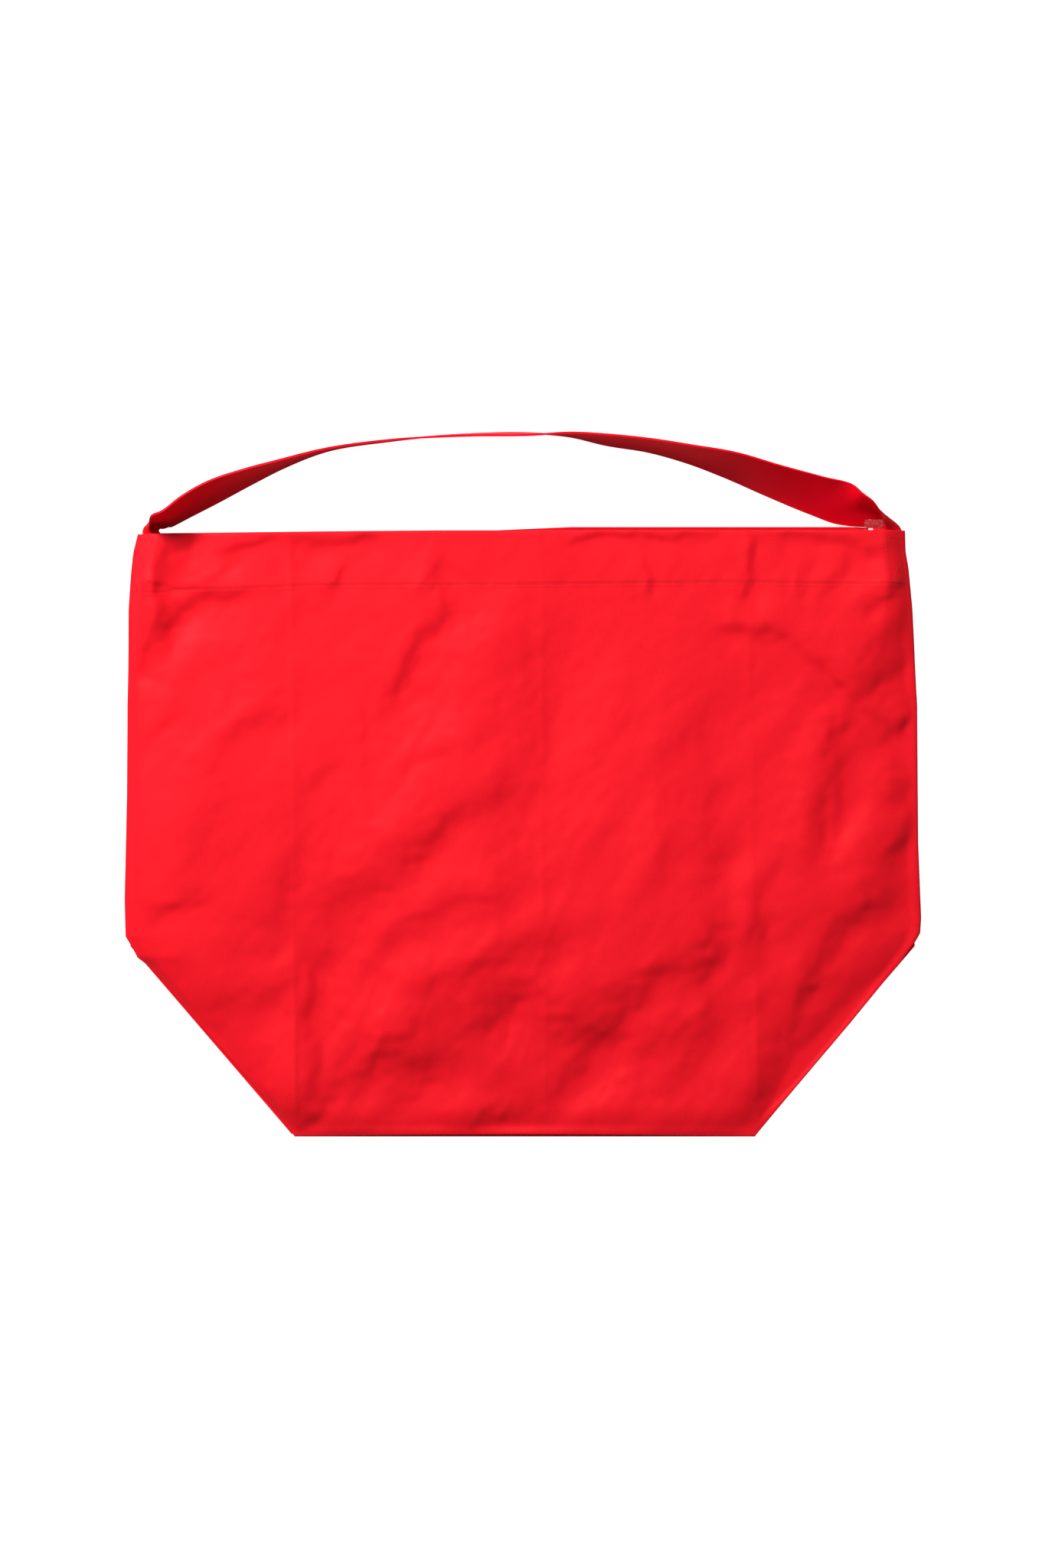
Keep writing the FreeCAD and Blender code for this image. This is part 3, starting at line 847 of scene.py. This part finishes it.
def dashes(name, places, ways, normals, material):
    """One mesh of many stitches, each from its middle, its way and the face it lies on."""
    vertices = []
    faces = []
    for place, way, normal in zip(places, ways, normals):
        way = way / np.linalg.norm(way)
        normal = normal / np.linalg.norm(normal)
        aside = np.cross(normal, way)
        start = len(vertices)
        for offset, girth in DASH_RINGS:
            for k in range(DASH_SIDES):
                angle = 2 * math.pi * k / DASH_SIDES
                spoke = aside * math.cos(angle) + normal * math.sin(angle) * DASH_FLATTENED
                lift = normal * (DASH_LIFTED - DASH_SUNK * (2 * offset) ** 2)
                vertices.append(place + way * offset * STITCH_LONG + lift + spoke * girth * THREAD_THICK / 2)
        for ring in range(len(DASH_RINGS) - 1):
            for k in range(DASH_SIDES):
                a = start + ring * DASH_SIDES + k
                b = start + ring * DASH_SIDES + (k + 1) % DASH_SIDES
                faces.append((a, b, b + DASH_SIDES, a + DASH_SIDES))
        faces.append(tuple(start + k for k in reversed(range(DASH_SIDES))))
        last = start + (len(DASH_RINGS) - 1) * DASH_SIDES
        faces.append(tuple(last + k for k in range(DASH_SIDES)))
    mesh = bpy.data.meshes.new(name)
    mesh.from_pydata(metres(vertices).tolist(), [], faces)
    mesh.shade_smooth()
    mesh.update()
    return new_object(name, mesh, material)


def on_front(x, y):
    """A point on the front panel's outer face, and the way that face looks."""
    step = 0.5
    here = front_height(x, y)
    rise_x = (front_height(x + step, y) - front_height(x - step, y)) / (2 * step)
    rise_y = (front_height(x, y + step) - front_height(x, y - step)) / (2 * step)
    normal = np.stack([-rise_x, -rise_y, np.ones_like(rise_x)], axis=-1)
    normal = normal / np.linalg.norm(normal, axis=-1, keepdims=True)
    return np.stack([x, y, here], axis=-1) + normal * (CLOTH / 2), normal


def along_line(corners, pitch):
    """Evenly spaced places on a run of straight lines, and the way of the line at each."""
    corners = np.array(corners, float)
    far = distance_along(corners)
    at = np.arange(pitch / 2, far[-1], pitch)
    spot = np.stack([np.interp(at, far, corners[:, k]) for k in range(2)], axis=1)
    ahead = np.stack([np.interp(at + 0.1, far, corners[:, k]) for k in range(2)], axis=1)
    behind = np.stack([np.interp(at - 0.1, far, corners[:, k]) for k in range(2)], axis=1)
    return spot, ahead - behind


def sewn_on_front(name, lines, material):
    """Stitches along lines on the front panel."""
    places = []
    ways = []
    normals = []
    for corners in lines:
        spot, way = along_line(corners, STITCH_PITCH)
        place, normal = on_front(spot[:, 0], spot[:, 1])
        way = np.concatenate([way, np.zeros((len(way), 1))], axis=1)
        way = way - normal * np.sum(way * normal, axis=1, keepdims=True)
        places.append(place)
        ways.append(way)
        normals.append(normal)
    return dashes(name, np.concatenate(places), np.concatenate(ways), np.concatenate(normals), material)


def front_hem_stitches(material):
    x = np.linspace(FRONT_STITCHES_FROM, FRONT_STITCHES_TO, 160)
    return sewn_on_front("front_hem_stitches", [np.stack([x, stitch_line(x)], axis=1)], material)


# The box of stitches at each strap end, its corners as shares of its width from the side edge
BOX_WIDE = 15
BOX_LONG = 34
BOX_FROM_FOLD = 3
BOX_INNER = 0.92
BOX_OUTER = 0.1
BOX_MIDDLE = 0.12


def box_stitches(side, turn, material):
    first = MOUTH - HEM_DEEP + BOX_FROM_FOLD
    last = first + BOX_LONG
    middle = (first + last) / 2

    def spot(share, y):
        return (side_edge(turn, y - BASE) - turn * share * BOX_WIDE, y)

    lines = [
        [spot(BOX_INNER, first), spot(BOX_INNER, last)],
        [spot(BOX_INNER, last), spot(BOX_OUTER, last)],
        [spot(BOX_INNER, first), spot(BOX_OUTER, first)],
        [spot(BOX_INNER, last), spot(BOX_MIDDLE, middle)],
        [spot(BOX_INNER, first), spot(BOX_MIDDLE, middle)],
    ]
    return sewn_on_front(f"{side}_box_stitches", lines, material)


def back_hem_stitches(side, turn, material):
    x = np.arange(1, HALF_BACK_HEM, STITCH_PITCH) * turn
    y = np.full_like(x, MOUTH - HEM_DEEP + 1.5)
    places = np.stack([x, y, 0 * x + 1.6], axis=1)
    ways = np.tile([1.0, 0, 0], (len(x), 1))
    up = np.tile([0, 0, 1.0], (len(x), 1))
    return dashes(f"back_hem_stitches_{side}", places, ways, up, material)


# The slip of clear film in the right end of the mouth
FILM_LEFT = 258.5
FILM_WIDE = 15
FILM_FROM = MOUTH - 22.5
FILM_LONG = 30.5
FILM_LEVEL = 3.6
FILM_RISE = 1.25


def film(material):
    up = np.linspace(0, 1, 26)[:, None]
    across = np.linspace(0, 1, 14)[None, :]
    y = FILM_FROM + FILM_LONG * up + 0 * across
    x = FILM_LEFT + FILM_WIDE * across + 0 * up
    out = np.clip(y - MOUTH, 0, 9)
    z = FILM_LEVEL + FILM_RISE * out + 0.7 * cloudy(x, y, *FILM_CLOUD) * np.clip(out / 2, 0.3, 1)
    return cloth_mesh("film_slip", np.stack([x, y, z], axis=-1), FILM_THICK, material)


# Materials

def base_material(name):
    material = bpy.data.materials.new(name)
    material.use_nodes = True
    tree = material.node_tree
    return material, tree, tree.nodes["Principled BSDF"]


def shaded(tree, value, low, high, start=0.0, end=1.0):
    """A colour that goes from low to high as a value rises from start to end."""
    ramp = tree.nodes.new("ShaderNodeValToRGB")
    elements = ramp.color_ramp.elements
    elements[0].position = start
    elements[0].color = (*low, 1)
    elements[1].position = end
    elements[1].color = (*high, 1)
    tree.links.new(value, ramp.inputs["Fac"])
    return ramp.outputs["Color"]


def add_bump(tree, shader, height, strength, distance):
    relief = tree.nodes.new("ShaderNodeBump")
    relief.inputs["Strength"].default_value = strength
    relief.inputs["Distance"].default_value = distance
    tree.links.new(height, relief.inputs["Height"])
    tree.links.new(relief.outputs["Normal"], shader.inputs["Normal"])


def noise_on_object(tree, scale):
    place = tree.nodes.new("ShaderNodeTexCoord")
    noise = tree.nodes.new("ShaderNodeTexNoise")
    noise.inputs["Scale"].default_value = scale
    tree.links.new(place.outputs["Object"], noise.inputs["Vector"])
    return noise.outputs["Fac"]


THREADS_PER_DECIMETRE = 230
YARN_LONG = 12
YARN_FINE = 260


def woven(name, colour, dark, bump, shine):
    """Plain weave: two sets of threads a little under half a millimetre apart, with uneven yarn."""
    material, tree, shader = base_material(name)
    nodes = tree.nodes
    links = tree.links

    def maths(operation, first, second):
        made = nodes.new("ShaderNodeMath")
        made.operation = operation
        for socket, value in zip(made.inputs, (first, second)):
            if isinstance(value, (int, float)):
                socket.default_value = value
            else:
                links.new(value, socket)
        return made.outputs[0]

    def yarn(across, along):
        mapping = nodes.new("ShaderNodeMapping")
        mapping.inputs["Scale"].default_value = (across, along, 1)
        links.new(place.outputs["UV"], mapping.inputs["Vector"])
        noise = nodes.new("ShaderNodeTexNoise")
        noise.inputs["Scale"].default_value = 1
        noise.inputs["Detail"].default_value = 2
        links.new(mapping.outputs["Vector"], noise.inputs["Vector"])
        return noise.outputs["Fac"]

    place = nodes.new("ShaderNodeUVMap")
    place.uv_map = "cloth"
    turn = 2 * math.pi * THREADS_PER_DECIMETRE
    split = nodes.new("ShaderNodeSeparateXYZ")
    links.new(place.outputs["UV"], split.inputs[0])
    warp = maths("SINE", maths("MULTIPLY", split.outputs["X"], turn), 0)
    weft = maths("SINE", maths("MULTIPLY", split.outputs["Y"], turn), 0)
    weave = maths("MULTIPLY", warp, weft)
    slub = maths("ADD", yarn(YARN_LONG, YARN_FINE), yarn(YARN_FINE, YARN_LONG))
    shade = maths("ADD", maths("MULTIPLY", slub, 0.9), maths("MULTIPLY", weave, 0.16))
    links.new(shaded(tree, shade, dark, colour, 0.45, 1.0), shader.inputs["Base Color"])
    rise = maths("ADD", maths("MULTIPLY", weave, 0.5), maths("MULTIPLY", slub, 0.7))
    add_bump(tree, shader, rise, bump, 0.0002)
    shader.inputs["Roughness"].default_value = 0.55
    shader.inputs["Specular IOR Level"].default_value = shine
    return material


def thread_material():
    material, tree, shader = base_material("red_thread_painted_shade")
    place = tree.nodes.new("ShaderNodeTexCoord")
    twist = tree.nodes.new("ShaderNodeTexWave")
    twist.inputs["Scale"].default_value = 1800
    twist.inputs["Distortion"].default_value = 1
    tree.links.new(place.outputs["Object"], twist.inputs["Vector"])
    # The thread is coloured darker than the cloth: painted shade, standing in for the shadows in the needle
    # holes and the groove along the sunk row of stitches.
    colour = shaded(tree, twist.outputs["Fac"], (0.4, 0.001, 0.008), (0.66, 0.012, 0.03))
    tree.links.new(colour, shader.inputs["Base Color"])
    shader.inputs["Roughness"].default_value = 0.42
    return material


def film_material():
    """Clear film, mostly see-through, with opaque white streaks where it is creased: painted highlights."""
    material, tree, shader = base_material("clear_film")
    creased = noise_on_object(tree, 320)
    add_bump(tree, shader, creased, 0.5, 0.001)
    # Where the creases lie the film turns opaque white: these streaks are painted highlights.
    painted_highlights = shaded(tree, creased, (0.1, 0.1, 0.1), (0.75, 0.75, 0.75), 0.56, 0.68)
    tree.links.new(painted_highlights, shader.inputs["Alpha"])
    shader.inputs["Base Color"].default_value = (0.95, 0.95, 0.96, 1)
    shader.inputs["Roughness"].default_value = 0.12
    shader.inputs["IOR"].default_value = 1.5
    return material


def floor_material():
    """A white table. Its glow is seen by the camera only and lights nothing."""
    material, tree, shader = base_material("white_table")
    colour = shaded(tree, noise_on_object(tree, 400), (0.57, 0.57, 0.57), (0.63, 0.63, 0.63))
    tree.links.new(colour, shader.inputs["Base Color"])
    shader.inputs["Roughness"].default_value = 0.9
    glow = tree.nodes.new("ShaderNodeMath")
    glow.operation = "MULTIPLY"
    seen = tree.nodes.new("ShaderNodeLightPath")
    tree.links.new(seen.outputs["Is Camera Ray"], glow.inputs[0])
    glow.inputs[1].default_value = 0.92
    tree.links.new(glow.outputs[0], shader.inputs["Emission Strength"])
    shader.inputs["Emission Color"].default_value = (1, 1, 1, 1)
    return material


# Camera, light and table

camera_data = bpy.data.cameras.new("camera")
camera = bpy.data.objects.new("camera", camera_data)
bpy.context.scene.collection.objects.link(camera)
camera.location = (0, 0, CAMERA_HIGH * 0.001)
camera_data.angle = 2 * math.atan(PICTURE_HIGH / 2 * MM_PER_PIXEL / CAMERA_HIGH)
camera_data.clip_end = 50
bpy.context.scene.camera = camera
bpy.context.scene.view_settings.view_transform = "Standard"

TABLE_HALF = 6
TABLE_BELOW = 0.0002
TABLE_CORNERS = [(-1, -1), (1, -1), (1, 1), (-1, 1)]
table_mesh = bpy.data.meshes.new("table")
table_mesh.from_pydata([(x * TABLE_HALF, y * TABLE_HALF, 0) for x, y in TABLE_CORNERS], [], [(0, 1, 2, 3)])
table = new_object("table", table_mesh, floor_material())
table.location.z = -TABLE_BELOW


def lamp(name, place, power, wide):
    """A round lamp, in metres and watts, that looks at the origin."""
    data = bpy.data.lights.new(name, "AREA")
    data.energy = power
    data.shape = "DISK"
    data.size = wide
    lit = bpy.data.objects.new(name, data)
    bpy.context.scene.collection.objects.link(lit)
    lit.location = place
    lit.rotation_euler = (-Vector(place)).to_track_quat("-Z", "Y").to_euler()


lamp("key", (-1.55, 2.1, 2.15), 146, 0.9)
lamp("fill", (-0.1, 0.6, 1.7), 2, 1.0)
world = bpy.data.worlds.new("studio")
bpy.context.scene.world = world
world.use_nodes = True
world.node_tree.nodes["Background"].inputs["Color"].default_value = (1, 1, 1, 1)
world.node_tree.nodes["Background"].inputs["Strength"].default_value = 0.2


# The bag

red = woven("red_plain_weave", (0.91, 0.007, 0.018), (0.79, 0.005, 0.014), bump=0.1, shine=0.11)
strap_red = woven("red_strap_weave", (0.92, 0.0004, 0.014), (0.78, 0.0002, 0.011), bump=0.1, shine=0.08)
seam_red = woven("red_seam_weave", (0.80, 0.001, 0.016), (0.62, 0.0006, 0.012), bump=0.2, shine=0.2)
thread = thread_material()

front = front_cloth(red)
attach(front, "bag_front")
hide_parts("front_panel")
front_stitches = front_hem_stitches(thread)
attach(front_stitches, "bag_front")
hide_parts("front_hem_stitching")
for side, turn in (("left", -1), ("right", 1)):
    box = box_stitches(side, turn, thread)
    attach(box, "bag_front")
    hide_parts(f"{side}_box_stitching")
for side, turn in (("left", -1), ("right", 1)):
    seam = side_seam(side, turn, seam_red)
    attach(seam, "bag_front")
    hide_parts(f"{side}_side_seam")


def wing(piece):
    """Bake the piece's placing into its mesh, where it stays, on no body."""
    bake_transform(piece)


for side, turn in (("left", -1), ("right", 1)):
    back = back_half(side, turn, red)
    wing(back)
    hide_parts("back_panel")
    back_row = back_hem_stitches(side, turn, thread)
    wing(back_row)
    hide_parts("back_hem_stitching")
    base = base_half(side, turn, red)
    wing(base)
    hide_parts("base_panel")
    inner = base_seam(side, turn, seam_red)
    wing(inner)
    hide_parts(f"{side}_base_seam")
    tuck = corner_tuck(side, turn, red)
    wing(tuck)
    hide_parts(f"{side}_corner_tuck")

strap = strap_cloth(strap_red)
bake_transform(strap)
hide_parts("strap", "left_strap_bend", "right_strap_bend", "left_strap_end", "right_strap_end")

slip = film(film_material())
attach(slip, "bag_front")
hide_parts("film_tab")
